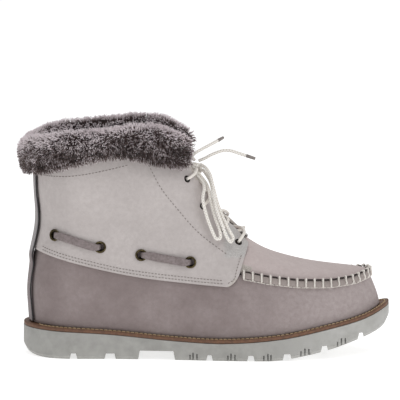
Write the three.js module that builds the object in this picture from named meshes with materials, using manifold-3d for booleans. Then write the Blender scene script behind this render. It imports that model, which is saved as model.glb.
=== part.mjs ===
// A women's moc-toe deck boot for the right foot, lined and collared with fleece.
// Millimetres; +X runs to the toe, +Y to the inner side of the foot, +Z up.
import * as THREE from 'three';
import { mergeVertices } from 'three/addons/utils/BufferGeometryUtils.js';
import Module from 'manifold-3d';

const wasm = await Module();
wasm.setup();

// ---- Driving dimensions -------------------------------------------------------------------
const soleLength = 280.5;       // outsole, heel to toe
const soleWidth = 98;           // outsole across the ball of the foot
const shaftHeight = 145;        // ground to the leather's top edge at the back
const soleThickness = 22;       // outsole at the heel
const clearance = 0.3;          // between pieces that touch
const leather = 1.6;            // vamp, plug and quarters
const fleece = 4;               // lining
const weltThickness = 2.6;
const weltWidth = 9;
const weltShelf = 4.6;          // how far the welt shows outside the upper
const boardThickness = 2.4;
const footbedThickness = 5;
const footbedGap = 4.4;         // between the footbed's edge and the foot of the lining
const shankLength = 104;
const shankWidth = 15;
const shankThickness = 1.4;
const treadDepth = 4.5;
const shankArch = 7;            // height of the gap in front of the heel block
const stiffener = 1.3;          // heel counter and toe puff
const bandHeight = 5;           // raised band below the moc seam
const bandThickness = 2.3;
const backstayWidth = 26;
const backstayThickness = 1.4;
const throatHalf = 13;          // half the gap between the facings
const tongueThickness = 2.4;
const tongueHalf = 15;
const deckEyeletOuter = 5;      // radii
const deckEyeletBore = 3.1;
const laceEyeletOuter = 2.9;
const laceEyeletBore = 2.1;
const eyeletWall = 0.5;
const thongWidth = 6.2;
const thongThickness = 1.2;
const laceRadius = 1.3;
const furOut = 17;               // how far the fleece collar stands outside the vamp's face
const furIn = 5.5;
const furDrop = 6;              // how far the collar hangs below the leather's top edge

// Layers, as distances outside the outer face of the vamp.
const overlay = 0.55;                                     // inner face of what lies on the vamp
const quarterFace = overlay + leather;
const liningFace = -(leather + stiffener + 1);
const tongueFace = -4.1;                                  // leaves the lace room under the facing
const backstayHigh = quarterFace + 0.45;

// The pattern below is drawn for a 280.5 mm sole, 98 mm wide, with a 145 mm shaft.
const kx = soleLength / 280.5;
const ky = soleWidth / 98;
const ground = 20;              // heights below this belong to the sole
const kz = (shaftHeight - ground) / (145 - ground);
const up = (z) => ground + (z - ground) * kz;

// ---- Lines of the pattern -----------------------------------------------------------------
// A smooth value through [t, value] points, going on straight beyond its ends.
function through(points) {
  const slope = (a, b) => (points[b][1] - points[a][1]) / (points[b][0] - points[a][0]);
  const last = points.length - 1;
  return (t) => {
    let i = 0;
    while (i < last - 1 && t > points[i + 1][0]) i += 1;
    const [[t0, v0], [t1, v1]] = [points[i], points[i + 1]];
    const m0 = i > 0 ? (slope(i - 1, i) + slope(i, i + 1)) / 2 : slope(i, i + 1);
    const m1 = i + 1 < last ? (slope(i, i + 1) + slope(i + 1, i + 2)) / 2 : slope(i, i + 1);
    if (t < t0) return v0 + m0 * (t - t0);
    if (t > t1) return v1 + m1 * (t - t1);
    const h = t1 - t0;
    const u = (t - t0) / h;
    return (2 * u ** 3 - 3 * u ** 2 + 1) * v0 + (u ** 3 - 2 * u ** 2 + u) * h * m0
      + (3 * u ** 2 - 2 * u ** 3) * v1 + (u ** 3 - u ** 2) * h * m1;
  };
}
const soleLine = (points) => through(points.map(([x, z]) => [x * kx, z]));
const upperLine = (points) => through(points.map(([x, z]) => [x * kx, up(z)]));
const uprightLine = (points) => through(points.map(([z, x]) => [up(z), x * kx]));

const heel = -137.2 * kx;
const toe = 143.3 * kx;
const soleTop = soleLine([[-137, soleThickness + 0.2], [-77, soleThickness - 2.7], [-19, soleThickness - 7.5],
  [14, soleThickness - 8.8], [59, soleThickness - 5.4], [97, soleThickness + 1.6],
  [126, soleThickness + 8], [143, soleThickness + 14.8]]);
const soleCurve = soleLine([[-137, 6], [-134.5, 3.6], [-130, 1.5], [-124, 0.4], [-116, 0], [-60, 0], [40, 0],
  [58, 0.3], [75.6, 3.2], [88, 5.4], [102, 8.8], [118, 13.6], [133, 18.6], [140, 22.6], [143.3, 27]]);
const soleBottom = (x) => Math.max(0, soleCurve(x));
const footHalf = through([[-133, 31], [-100, 32.5], [-60, 31], [-20, 34], [20, 40], [50, 43.4], [80, 44.4],
  [140, 44.4]].map(([x, y]) => [x * kx, y * ky]));
const centre = through([[-137, 0], [-90, 0], [-40, -3], [10, -3], [50, -1], [90, 3], [143, 8]]
  .map(([x, y]) => [x * kx, y * ky]));
const seamLine = upperLine([[0, 68.5], [28, 68.3], [50, 64], [73, 61], [98, 59.8], [117, 61.2], [127, 63.6]]);
const ridgeLine = upperLine([[-130, 413], [-40, 215], [-16, 162], [-8, 144], [0, 128], [10, 113], [20, 102],
  [30, 93], [38, 86.5], [45, 82], [57, 77.4], [70, 73.6], [82, 70.8], [94, 69], [106, 67.6], [118, 66.2],
  [127, 64.4]]);
const backLine = uprightLine([[25, -131.3], [40, -132.4], [50, -133.1], [64, -131.6], [76, -129.6],
  [88, -126.8], [100, -124.5], [112, -124.3], [125, -125.6], [142, -126]]);
const toeLine = uprightLine([[36, 136.4], [42, 135.6], [48, 133.6], [56, 130.4], [64, 126.5]]);
const quarterHem = upperLine([[-131, 82.3], [-120, 79.6], [-87, 70.9], [-58, 64.6], [-3, 58.3], [20, 56.5]]);
const topLine = upperLine([[-128, 145], [-113, 150], [-85, 158], [-67, 161.5], [-38, 156], [-14, 150.5]]);
const furTopLine = upperLine([[-128, 171], [-108, 177], [-81, 179.5], [-63, 181], [-35, 180], [-19, 172]]);

const toeRound = 80 * kx;
const heelRound = 34 * kx;
const weltTop = (x) => soleTop(x) + clearance + weltThickness;
const featherLine = (x) => weltTop(x) + clearance;
const { smoothstep } = THREE.MathUtils;
const rounds = 12;               // tries that bring a point's x and z to agree
const halvings = 40;             // steps of a search between two bounds
const crownShare = 0.87;         // of the foot's half-width, under the instep's crown

// ---- Body of the upper --------------------------------------------------------------------
const seamAt = (x, layer) => seamLine(x) + layer;
const ridgeAt = (x, layer) => {
  const slope = (ridgeLine(x + 1) - ridgeLine(x - 1)) / 2;
  return ridgeLine(x) + layer * Math.hypot(1, Math.min(2.2, Math.abs(slope)));
};

// Square of the half-width at x and z on a layer; below nought it is outside the body.
function halfSquared(x, z, layer) {
  const seam = seamAt(x, layer);
  const low = Math.min(z, seam);
  const rise = (low - featherLine(x)) / (seam - featherLine(x));
  const front = smoothstep(x, -50 * kx, 30 * kx);
  const shape = 1 + 0.14 * rise * (1 - rise) + 0.03 * rise - 0.16 * front * rise ** 2;
  const flare = 5 * smoothstep(z, up(85), up(150));
  const half = footHalf(x) * shape + flare + layer;
  const arch = Math.max(0, z - seam) / (ridgeAt(x, layer) - seam);
  const nose = Math.max(0, 1 - (toeLine(low) + layer - x) / toeRound);
  const back = Math.max(0, 1 - (x - backLine(z) + layer) / heelRound);
  return half ** 2 * (1 - arch ** 2) * (1 - nose ** 2) * (1 - back ** 2);
}
const onBody = (x, z, side, layer) =>
  new THREE.Vector3(x, centre(x) + side * Math.sqrt(Math.max(0, halfSquared(x, z, layer))), z);

// Outward direction of the body at x and z.
function outward(x, z, side, layer = 0) {
  const d = 0.1;
  const y = Math.sqrt(Math.max(0, halfSquared(x, z, layer)));
  const dx = (halfSquared(x + d, z, layer) - halfSquared(x - d, z, layer)) / (4 * d);
  const dz = (halfSquared(x, z + d, layer) - halfSquared(x, z - d, layer)) / (4 * d);
  return new THREE.Vector3(-dx, side * y, -dz).normalize();
}

// Largest x at which the body is still `half` wide at height z.
function edgeX(z, half, layer) {
  let [low, high] = [-60 * kx, 60 * kx];
  for (let i = 0; i < halvings; i += 1) {
    const middle = (low + high) / 2;
    if (halfSquared(middle, z, layer) > half ** 2) low = middle;
    else high = middle;
  }
  return low;
}

// Height of the instep's crown at x, a distance y from its centre line.
function crown(x, y, layer) {
  const seam = seamAt(x, layer);
  const half = footHalf(x) * crownShare + layer;
  return seam + (ridgeAt(x, layer) - seam) * Math.sqrt(1 - (y / half) ** 2);
}

// ---- Solids from grids --------------------------------------------------------------------
const toGeometry = (positions, triangles) => {
  const geometry = new THREE.BufferGeometry();
  geometry.setAttribute('position', new THREE.Float32BufferAttribute(positions, 3));
  geometry.setIndex(triangles);
  const merged = mergeVertices(geometry, 1e-3);
  const index = merged.index.array;
  const kept = [];
  for (let i = 0; i < index.length; i += 3) {
    const [a, b, c] = [index[i], index[i + 1], index[i + 2]];
    if (a !== b && b !== c && a !== c) kept.push(a, b, c);
  }
  merged.setIndex(kept);
  return merged;
};

// Rings of points joined one to the next; `caps` closes the first and last with a fan.
function loft(rings, { caps = true, loop = false } = {}) {
  const n = rings[0].length;
  const positions = rings.flat().flatMap((p) => [p.x, p.y, p.z]);
  const triangles = [];
  const spans = loop ? rings.length : rings.length - 1;
  for (let i = 0; i < spans; i += 1) {
    for (let j = 0; j < n; j += 1) {
      const [a, b] = [i * n + j, i * n + (j + 1) % n];
      const [c, d] = [((i + 1) % rings.length) * n + j, ((i + 1) % rings.length) * n + (j + 1) % n];
      triangles.push(a, b, d, a, d, c);
    }
  }
  if (caps && !loop) {
    const end = (rings.length - 1) * n;
    for (let j = 1; j < n - 1; j += 1) triangles.push(0, j + 1, j, end, end + j, end + j + 1);
  }
  return outwardFacing(toGeometry(positions, triangles));
}

// A closed sheet between two grids of the same size; a zipped sheet's last row folds on itself.
function sheet(outer, inner, { zipped = false } = {}) {
  const [rows, columns] = [outer.length, outer[0].length];
  const positions = [...outer.flat(), ...inner.flat()].flatMap((p) => [p.x, p.y, p.z]);
  const triangles = [];
  const top = (i, j) => i * columns + j;
  const under = (i, j) => rows * columns + i * columns + j;
  const quad = (a, b, c, d) => triangles.push(a, b, c, a, c, d);
  for (let i = 0; i < rows - 1; i += 1) {
    for (let j = 0; j < columns - 1; j += 1) {
      quad(top(i, j), top(i, j + 1), top(i + 1, j + 1), top(i + 1, j));
      quad(under(i, j), under(i + 1, j), under(i + 1, j + 1), under(i, j + 1));
    }
    quad(top(i, 0), top(i + 1, 0), under(i + 1, 0), under(i, 0));
    quad(top(i, columns - 1), under(i, columns - 1), under(i + 1, columns - 1), top(i + 1, columns - 1));
  }
  for (let j = 0; j < columns - 1; j += 1) {
    quad(top(0, j), under(0, j), under(0, j + 1), top(0, j + 1));
    if (!zipped) quad(top(rows - 1, j), top(rows - 1, j + 1), under(rows - 1, j + 1), under(rows - 1, j));
  }
  return outwardFacing(toGeometry(positions, triangles));
}

// The geometry with its faces turned so that its volume is positive.
function outwardFacing(geometry) {
  const p = geometry.attributes.position;
  const index = geometry.index.array;
  const [a, b, c] = [new THREE.Vector3(), new THREE.Vector3(), new THREE.Vector3()];
  let volume = 0;
  for (let i = 0; i < index.length; i += 3) {
    a.fromBufferAttribute(p, index[i]);
    b.fromBufferAttribute(p, index[i + 1]);
    c.fromBufferAttribute(p, index[i + 2]);
    volume += a.dot(b.cross(c));
  }
  if (volume < 0) {
    const turned = [];
    for (let i = 0; i < index.length; i += 3) turned.push(index[i], index[i + 2], index[i + 1]);
    geometry.setIndex(turned);
  }
  return geometry;
}

const grid = (rows, columns, point) =>
  Array.from({ length: rows }, (_, i) =>
    Array.from({ length: columns }, (__, j) => point(i / (rows - 1), j / (columns - 1))));

// ---- Booleans -----------------------------------------------------------------------------
function solid(geometry, matrix = new THREE.Matrix4()) {
  const bare = geometry.clone().applyMatrix4(matrix);
  bare.deleteAttribute('normal');
  bare.deleteAttribute('uv');
  const merged = mergeVertices(bare, 1e-4);
  return new wasm.Manifold(new wasm.Mesh({
    numProp: 3,
    vertProperties: new Float32Array(merged.attributes.position.array),
    triVerts: new Uint32Array(merged.index.array),
  }));
}
function fromSolid(manifold) {
  const mesh = manifold.getMesh();
  return toGeometry([...mesh.vertProperties], [...mesh.triVerts]);
}
const cut = (geometry, tools) =>
  fromSolid(tools.reduce((left, tool) => left.subtract(tool), solid(geometry)));

// A frame on the quarter's outer face at x and z, its Y axis standing out of the face.
function seat(x, z, side) {
  const normal = outward(x, z, side, quarterFace);
  const turn = new THREE.Quaternion().setFromUnitVectors(new THREE.Vector3(0, 1, 0), normal);
  return new THREE.Matrix4().compose(onBody(x, z, side, quarterFace), turn, new THREE.Vector3(1, 1, 1));
}
const punch = (x, z, side, radius) =>
  solid(new THREE.CylinderGeometry(radius, radius, 12, 10), seat(x, z, side));

// ---- Materials and naming -----------------------------------------------------------------
const group = new THREE.Group();
const finish = (color, roughness, metalness = 0) =>
  new THREE.MeshStandardMaterial({ color, roughness, metalness });
const suedeTaupe = () => finish('#827675', 0.9);
const suedeGrey = () => finish('#b7afaf', 0.9);
const suedePlug = () => finish('#bcb1b0', 0.9);
const pile = () => finish('#6d5f5e', 1);
const cordWhite = () => finish('#e2dcd4', 0.85);
const brass = () => finish('#5d5346', 0.4, 0.9);
function add(name, geometry, material, matrix) {
  const mesh = new THREE.Mesh(geometry, material);
  mesh.name = name;
  if (matrix) matrix.decompose(mesh.position, mesh.quaternion, mesh.scale);
  group.add(mesh);
}

// ---- Sole ---------------------------------------------------------------------------------
const soleSteps = 36;
const soleHalf = (x) => {
  const nose = Math.max(0, 1 - (toe - x) / (84 * kx));
  const back = Math.max(0, 1 - (x - heel) / (38 * kx));
  return (footHalf(x) + weltShelf * ky) * Math.sqrt((1 - nose ** 2) * (1 - back ** 2));
};
// A point of the sole's edge, moved in by `inset` along the edge's own normal.
function soleEdge(t, side, inset) {
  const x = heel + (toe - heel) * (1 - Math.cos(Math.PI * t)) / 2;
  const d = 0.05;
  const square = (at) => Math.sign(soleHalf(at)) * soleHalf(at) ** 2;
  const [a, b] = [Math.max(heel, x - d), Math.min(toe, x + d)];
  const normal = new THREE.Vector2(-(square(b) - square(a)) / (2 * (b - a)), side * soleHalf(x)).normalize();
  return new THREE.Vector2(x - normal.x * inset, centre(x) + side * soleHalf(x) - normal.y * inset);
}
const lifted = (point, z) => new THREE.Vector3(point.x, point.y, z(point.x));

// A slab that fills the sole's outline, `inset` from its edge.
function slab(inset, bottom, top) {
  const rings = Array.from({ length: soleSteps + 1 }, (_, i) => {
    const [near, far] = [-1, 1].map((side) => soleEdge(i / soleSteps, side, inset));
    return [lifted(near, top), lifted(far, top), lifted(far, bottom), lifted(near, bottom)];
  });
  return loft(rings, { caps: false });
}

function outsoleGeometry() {
  const edgeRadius = 2.4;
  const rings = Array.from({ length: soleSteps + 1 }, (_, i) => {
    const t = i / soleSteps;
    const [near, far, nearIn, farIn] = [[-1, 0], [1, 0], [-1, edgeRadius], [1, edgeRadius]]
      .map(([side, inset]) => soleEdge(t, side, inset));
    const low = (x) => soleBottom(x) + edgeRadius;
    return [lifted(near, soleTop), lifted(far, soleTop), lifted(far, low),
      lifted(farIn, soleBottom), lifted(nearIn, soleBottom), lifted(near, low)];
  });
  // Grooves run straight across; each is a trapezium, wider at the ground.
  const groove = (from, to, depth) => {
    const [a, b] = [from * kx, to * kx];
    const floor = soleBottom((a + b) / 2);
    const draw = Math.min(1.2, (b - a) / 4);
    const shape = new THREE.Shape([[a - draw, floor - 6], [b + draw, floor - 6], [b - draw, floor + depth],
      [a + draw, floor + depth]].map(([x, z]) => new THREE.Vector2(x, z)));
    const long = soleWidth * 2;
    const bar = new THREE.ExtrudeGeometry(shape, { depth: long, bevelEnabled: false });
    return solid(bar, new THREE.Matrix4().makeRotationX(Math.PI / 2).setPosition(0, long / 2, 0));
  };
  const heelGrooves = [[-101.5, -95.4], [-74.9, -66]].map(([a, b]) => groove(a, b, treadDepth));
  const waist = groove(-49, -21, shankArch);
  const frontGrooves = [[2.7, 8], [33.8, 39.9], [61, 68], [90, 96], [118.5, 123.5]]
    .map(([a, b]) => groove(a, b, treadDepth));
  const recess = new THREE.BoxGeometry(shankLength + 1, shankWidth + 1, 2 * (shankThickness + clearance));
  const shankPlace = solid(recess, shankFrame(0));
  return cut(loft(rings, { caps: false }), [...heelGrooves, waist, ...frontGrooves, shankPlace]);
}

// Where the shank lies: along the waist, flush with the sole's top.
function shankFrame(drop) {
  const [x0, x1] = [-86 * kx, -86 * kx + shankLength];
  const [z0, z1] = [soleTop(x0), soleTop(x1)];
  const slope = Math.atan2(z1 - z0, x1 - x0);
  const middle = (x0 + x1) / 2;
  const place = new THREE.Vector3(middle, centre(middle), Math.min((z0 + z1) / 2, soleTop(middle)) - drop);
  const turn = new THREE.Quaternion().setFromAxisAngle(new THREE.Vector3(0, -1, 0), slope);
  return new THREE.Matrix4().compose(place, turn, new THREE.Vector3(1, 1, 1));
}

function weltGeometry() {
  const rings = [];
  for (let i = 0; i < 2 * soleSteps; i += 1) {
    const side = i < soleSteps ? -1 : 1;
    const t = (i < soleSteps ? i : 2 * soleSteps - i) / soleSteps;
    const [outer, inner] = [soleEdge(t, side, 0), soleEdge(t, side, weltWidth)];
    const bottom = (x) => soleTop(x) + clearance;
    rings.push([lifted(outer, bottom), lifted(outer, weltTop), lifted(inner, weltTop),
      lifted(inner, bottom)]);
  }
  return loft(rings, { loop: true });
}

const boardTop = (x) => soleTop(x) + clearance + boardThickness;
add('outsole', outsoleGeometry(), finish('#a9a7a2', 0.75));
add('welt', weltGeometry(), finish('#8a6a4c', 0.7));
add('insole_board', slab(weltWidth + clearance, (x) => soleTop(x) + clearance, boardTop),
  finish('#a58d6c', 0.9));
add('shank', new THREE.BoxGeometry(shankLength, shankWidth, shankThickness), finish('#8b8d90', 0.4, 1),
  shankFrame(shankThickness / 2 + 0.05));

// ---- Upper: vamp, plug and band -----------------------------------------------------------
const vampTop = (x) => {
  const behind = quarterHem(x) + 8;
  const ahead = seamLine(x) - leather - 0.4;
  return THREE.MathUtils.lerp(behind, ahead, smoothstep(x, 4 * kx, 30 * kx));
};

// Place on a strip round the foot: s runs 0 at the heel, 1 at the toe; r from 0 at the feather to 1.
function onStrip(s, r, top, layer) {
  const side = s <= 1 ? -1 : 1;
  const along = s <= 1 ? s : 2 - s;
  let [x, z] = [0, up(45)];
  for (let i = 0; i < rounds; i += 1) {
    const [from, to] = [backLine(z) - layer, toeLine(z) + layer];
    x = from + (to - from) * (1 - Math.cos(Math.PI * along)) / 2;
    z = THREE.MathUtils.lerp(featherLine(x), top(x), r);
  }
  return onBody(x, z, side, layer);
}
const backGap = 0.004;          // of the strip, left open at the back seam
const stripGrid = (columns, rows, top, layer) =>
  grid(columns, rows, (i, r) => onStrip(backGap + (2 - 2 * backGap) * i, r, top, layer));

// Place on the roof of the foot from x0 on: across from -1 to 1, feather to feather over the crown.
function onRoof(s, across, x0, layer) {
  const side = across < 0 ? -1 : 1;
  const a = Math.abs(across);
  let [x, z] = [x0, up(60)];
  for (let i = 0; i < rounds; i += 1) {
    const seam = seamAt(x, layer);
    z = a > 0.5 ? THREE.MathUtils.lerp(seam, featherLine(x), (a - 0.5) * 2)
      : seam + (ridgeAt(x, layer) - seam) * Math.cos(Math.PI * a);
    const to = toeLine(Math.min(z, seam)) + layer;
    x = x0 + (to - x0) * Math.sin(Math.PI * s / 2);
  }
  return s > 0.999 ? new THREE.Vector3(x, centre(x), z) : onBody(x, z, side, layer);
}
function roof(x0, outer, inner, rows, columns, reach) {
  const lay = (layer) => grid(rows, columns, (s, c) => {
    const across = (2 * c - 1) * reach;
    return onRoof(s, across, x0(Math.abs(across)), layer);
  });
  return sheet(lay(outer), lay(inner), { zipped: true });
}
const plugBack = (a) => (33 - 11 * smoothstep(a, 0.26, 0.5)) * kx;

function bandGeometry() {
  const start = 30 * kx;
  const columns = 40;
  const back = clearance + 0.05;
  const section = [[back, -bandHeight + 0.5], [bandThickness - 0.6, -bandHeight + 0.2],
    [bandThickness, -bandHeight + 1.2], [bandThickness, -0.6], [bandThickness - 0.7, 0.4], [back, 0.4]];
  const rings = Array.from({ length: columns + 1 }, (_, i) => {
    const s = 2 * i / columns;
    const side = s <= 1 ? -1 : 1;
    const along = s <= 1 ? s : 2 - s;
    return section.map(([layer, rise]) => {
      let x = start;
      for (let k = 0; k < rounds; k += 1) {
        const to = toeLine(seamLine(x) + rise) + layer;
        x = start + (to - start) * Math.sin(Math.PI * along / 2);
      }
      return onBody(x, seamLine(x) + rise, side, layer);
    });
  });
  return loft(rings);
}

add('vamp', sheet(stripGrid(45, 6, vampTop, 0), stripGrid(45, 6, vampTop, -leather)), suedeTaupe());
const plugFace = -2 * clearance;
add('moc_plug', roof(plugBack, plugFace, plugFace - leather, 13, 13, 0.5), suedePlug());
add('moc_seam_band', bandGeometry(), finish('#918885', 0.85));

// ---- Quarters -----------------------------------------------------------------------------
// A patch between four lines drawn in the side view: hem, top, back and front.
function sidePatch(u, v, lines) {
  const [hem, top, back, front] = [lines.hem(u), lines.top(u), lines.back(v), lines.front(v)];
  const corners = [lines.hem(0), lines.hem(1), lines.top(0), lines.top(1)];
  const mix = (k) => (1 - v) * hem[k] + v * top[k] + (1 - u) * back[k] + u * front[k]
    - (1 - u) * (1 - v) * corners[0][k] - u * (1 - v) * corners[1][k]
    - (1 - u) * v * corners[2][k] - u * v * corners[3][k];
  return [mix(0), mix(1)];
}
const eased = (from, to, u) => from + (to - from) * (1 - Math.cos(Math.PI * u)) / 2;

function quarterLines(layer) {
  const throat = (z) => [edgeX(up(z), throatHalf, layer), up(z)];
  const apex = 86.4;
  const drop = [[20, 56.5], [26.4, 60.2], [28.4, 67], [30.6, 75], [33.2, 82], [35.6, apex]]
    .map(([x, z]) => [x * kx, up(z)]);
  const front = [...drop, ...[91.5, 99, 108, 118, 128, 139, 150].map(throat)];
  const frontX = through(front.map(([x], i) => [i, x]));
  const frontZ = through(front.map(([, z], i) => [i, z]));
  const n = front.length - 1;
  const [hemZ, topZ] = [quarterHem(-129 * kx), topLine(-127 * kx)];
  const [hemFront, topFront] = [front[0][0], front[n][0]];
  return {
    back: (v) => {
      const z = THREE.MathUtils.lerp(hemZ, topZ, v);
      return [backLine(z) - layer, z];
    },
    front: (v) => [frontX(v * n), frontZ(v * n)],
    hem: (u) => {
      const x = eased(backLine(hemZ) - layer, hemFront, u);
      return [x, THREE.MathUtils.lerp(quarterHem(x), u < 0.5 ? hemZ : front[0][1], Math.abs(2 * u - 1) ** 12)];
    },
    top: (u) => {
      const x = eased(backLine(topZ) - layer, topFront, u);
      return [x, THREE.MathUtils.lerp(topLine(x), u < 0.5 ? topZ : front[n][1], Math.abs(2 * u - 1) ** 12)];
    },
  };
}
function quarterGrid(side, layer) {
  const lines = quarterLines(layer);
  const halfSeam = 0.4;
  return grid(18, 10, (u, v) => {
    const [x, z] = sidePatch(u, v, lines);
    const point = onBody(x, z, side, layer);
    if (side * (point.y - centre(x)) < halfSeam) point.y = centre(x) + side * halfSeam;
    return point;
  });
}

const deckEyelets = [[-112.5, 94.7], [-78, 86.3], [-46.6, 80.5], [-9.3, 75.2]]
  .map(([x, z]) => [x * kx, up(z)]);
const facingInset = 7.5;        // lace holes behind the edge of the facing
const laceEyelets = [90, 99.5, 117, 138].map((z) => {
  const edge = edgeX(up(z), throatHalf + facingInset, 0);
  return [edge, up(z)];
});

const quarterGeometry = (side) => {
  const panel = sheet(quarterGrid(side, quarterFace), quarterGrid(side, overlay));
  const deck = deckEyelets.map(([x, z]) => punch(x, z, side, deckEyeletBore + eyeletWall + clearance));
  const lace = laceEyelets.map(([x, z]) => punch(x, z, side, laceEyeletBore + eyeletWall + clearance));
  return cut(panel, [...deck, ...lace]);
};
add('quarter_lateral', quarterGeometry(-1), suedeGrey());
add('quarter_medial', quarterGeometry(1), suedeGrey());

// ---- Backstay, stiffeners and linings -------------------------------------------------------
// Smallest x at which the body is `half` wide at height z.
function backX(z, half, layer) {
  let [low, high] = [backLine(z) - layer, backLine(z) - layer + heelRound];
  for (let i = 0; i < halvings; i += 1) {
    const middle = (low + high) / 2;
    if (halfSquared(middle, z, layer) < half ** 2) low = middle;
    else high = middle;
  }
  return high;
}
function backstayGeometry() {
  const hem = quarterHem(backLine(up(82)) + 5);
  const foot = featherLine(heel) + 0.6;
  const heights = [foot, 38, 50, 62, hem - 10, hem - 6, hem - 3, 90, 101, 112, 124, up(141)]
    .map((z, i) => (i > 0 && i < 4) || (i > 6 && i < 11) ? up(z) : z);
  const lay = (extra) => heights.map((z) => {
    const layer = THREE.MathUtils.lerp(overlay, backstayHigh, smoothstep(z, hem - 10, hem - 3)) + extra;
    return Array.from({ length: 7 }, (_, j) => {
      const y = backstayWidth * (j / 6 - 0.5);
      const x = backX(z, Math.abs(y), layer);
      return new THREE.Vector3(x, centre(x) + y, z);
    });
  });
  return sheet(lay(backstayThickness), lay(0));
}

// A shell round the heel from one side to the other: s runs 0 at the back to 1 at `reach`.
function heelShell(outer, inner, reach, top, columns, rows) {
  const lay = (layer) => grid(columns, rows, (i, r) => {
    const side = i < 0.5 ? -1 : 1;
    const s = Math.abs(2 * i - 1);
    let [x, z] = [0, up(45)];
    for (let k = 0; k < rounds; k += 1) {
      const from = backLine(z) - layer;
      x = from + (reach - from) * (1 - Math.cos(Math.PI * s / 2));
      z = THREE.MathUtils.lerp(featherLine(x), top(x), r);
    }
    return onBody(x, z, side, layer);
  });
  return sheet(lay(outer), lay(inner));
}

function liningLines(layer) {
  const front = [[42, featherLine(42 * kx)], [43, up(42)], [42, up(58)], [29, up(69)], [11, up(83)],
    [-6, up(102)], [-18, up(124)], [-27, up(149)]].map(([x, z]) => [x * kx, z]);
  const frontX = through(front.map(([x], i) => [i, x]));
  const frontZ = through(front.map(([, z], i) => [i, z]));
  const n = front.length - 1;
  const topGap = 0.8;
  const footZ = featherLine(-127 * kx) - weltThickness + boardThickness;
  const topZ = topLine(-124 * kx) - topGap;
  return {
    back: (v) => {
      const z = THREE.MathUtils.lerp(footZ, topZ, v);
      return [backLine(z) - layer, z];
    },
    front: (v) => [frontX(v * n), frontZ(v * n)],
    hem: (u) => {
      const x = THREE.MathUtils.lerp(backLine(footZ) - layer, front[0][0], 1 - Math.cos(Math.PI * u / 2));
      return [x, featherLine(x)];
    },
    top: (u) => {
      const x = THREE.MathUtils.lerp(backLine(topZ) - layer, front[n][0], 1 - Math.cos(Math.PI * u / 2));
      return [x, topLine(x) - topGap];
    },
  };
}
function shaftLiningGeometry() {
  const lay = (layer) => {
    const lines = liningLines(layer);
    return grid(27, 8, (i, v) => {
      const [x, z] = sidePatch(Math.abs(2 * i - 1), v, lines);
      return onBody(x, z, i < 0.5 ? -1 : 1, layer);
    });
  };
  return sheet(lay(liningFace), lay(liningFace - fleece));
}

const counterFace = -(leather + 2 * clearance);
const toeShift = 0.7;           // the toe's inner layers lie this much deeper
add('backstay', backstayGeometry(), finish('#7a7073', 0.85));
add('heel_counter', heelShell(counterFace, counterFace - stiffener, -72 * kx, () => up(62), 21, 4),
  finish('#cfc9bd', 0.8));
add('toe_puff', roof(() => 92 * kx, counterFace - toeShift, counterFace - toeShift - stiffener, 7, 13, 1),
  finish('#cfc9bd', 0.8));
add('vamp_lining', roof(() => 45 * kx, liningFace - toeShift, liningFace - toeShift - fleece, 10, 13, 1), pile());
add('shaft_lining', shaftLiningGeometry(), pile());
const footbedInset = (weltShelf - liningFace + fleece + footbedGap) * Math.max(kx, ky);
add('footbed', slab(footbedInset, (x) => boardTop(x) + clearance,
  (x) => boardTop(x) + clearance + footbedThickness), pile());

// ---- Tongue ---------------------------------------------------------------------------------
const tongueRoot = 39 * kx;
const tongueTop = -15 * kx;
function tongueGeometry() {
  const face = (x) => THREE.MathUtils.lerp(tongueFace, counterFace - 0.9, smoothstep(x, 33 * kx, 37 * kx));
  const lay = (depth) => grid(14, 7, (s, c) => {
    const x = tongueRoot + (tongueTop - tongueRoot) * s ** 0.8;
    const half = tongueHalf - 3 * smoothstep(x, 20 * kx, tongueRoot) - 2 * smoothstep(-x, 0, -tongueTop);
    const y = (2 * c - 1) * half;
    return new THREE.Vector3(x, centre(x) + y, crown(x, y, face(x) - depth));
  });
  return sheet(lay(0), lay(tongueThickness));
}
add('tongue', tongueGeometry(), suedePlug());

// ---- Fleece collar --------------------------------------------------------------------------
function collarGeometry() {
  const steps = 34;
  const end = -17 * kx;
  const lip = backstayHigh + backstayThickness + 0.5;
  // Each point: distance out, drops below the leather's edge, share of the climb to the top.
  const section = [[lip, 1, 0], [0.63 * furOut, 1.1, 0], [0.9 * furOut, 0.55, 0], [furOut, 0, 0.25],
    [0.95 * furOut, 0, 0.62], [0.7 * furOut, 0, 0.9], [0.26 * furOut, 0, 1], [-0.27 * furIn, 0, 0.95],
    [-0.87 * furIn, 0, 0.75], [-furIn, 0, 0.4], [-0.85 * furIn, -0.14, 0], [lip, -0.14, 0]];
  const ring = (t) => {
    const side = t < 0.5 ? -1 : 1;
    const s = Math.abs(2 * t - 1);
    const z0 = topLine(-126 * kx);
    const x = THREE.MathUtils.lerp(backLine(z0), end, 1 - Math.cos(Math.PI * s / 2));
    const edge = topLine(x);
    const point = onBody(x, edge, side, 0);
    const normal = outward(x, edge, side).setZ(0).normalize();
    return section.map(([out, drop, climb]) => {
      const z = edge - drop * furDrop + climb * (furTopLine(x) - edge);
      const base = drop > 0 ? onBody(x, z, side, 0) : point.clone();
      return base.addScaledVector(normal, out).setZ(z);
    });
  };
  const rings = Array.from({ length: steps + 1 }, (_, i) => ring(i / steps));
  const roundedEnd = (last, previous) => {
    const middle = last.reduce((sum, p) => sum.add(p), new THREE.Vector3()).divideScalar(last.length);
    const ahead = last[5].clone().sub(previous[5]).setLength(3.5);
    return last.map((p) => p.clone().lerp(middle, 0.3).add(ahead));
  };
  rings.unshift(roundedEnd(rings[0], rings[1]));
  rings.push(roundedEnd(rings[rings.length - 1], rings[rings.length - 2]));
  return loft(rings);
}
add('fur_collar', collarGeometry(), finish('#8a7b7c', 1));

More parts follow.
